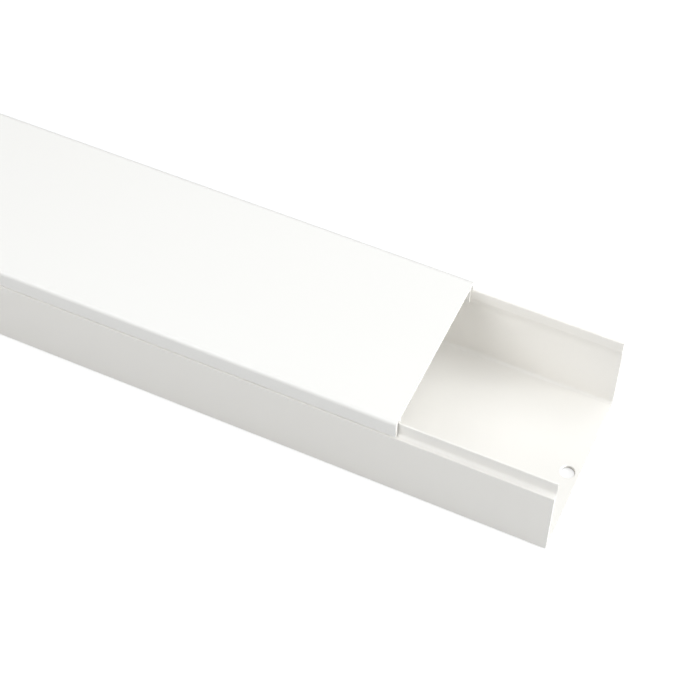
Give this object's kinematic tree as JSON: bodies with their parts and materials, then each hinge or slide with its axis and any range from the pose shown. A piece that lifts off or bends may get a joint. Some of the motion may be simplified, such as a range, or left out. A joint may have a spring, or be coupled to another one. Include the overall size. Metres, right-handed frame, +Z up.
{
  "type": "cable trunking with clip-on lid",
  "caption": "Rectangular cable raceway: a U-shaped plastic channel with punched screw holes along its floor and a flat lid that clips over its side lips, slid back at one end.",
  "frame": {"origin": "middle of the channel's underside, on its centreline and half-way along its length", "axes": "+X along the stock towards the end where the lid is slid back, +Y across the width, +Z up out of the open side"},
  "size_m": [2.084, 0.1, 0.06],
  "materials": {
    "channel_plastic": "satin",
    "lid_plastic": "satin"
  },
  "bodies": {
    "channel": {"base_channel": "channel_plastic"},
    "cover": {"lid": "lid_plastic"}
  },
  "joints": [
    {"name": "lid_slide", "type": "slide", "parent": "channel", "child": "cover", "axis": [1, 0, 0], "range_m": [-1.816, 0.084]}
  ]
}
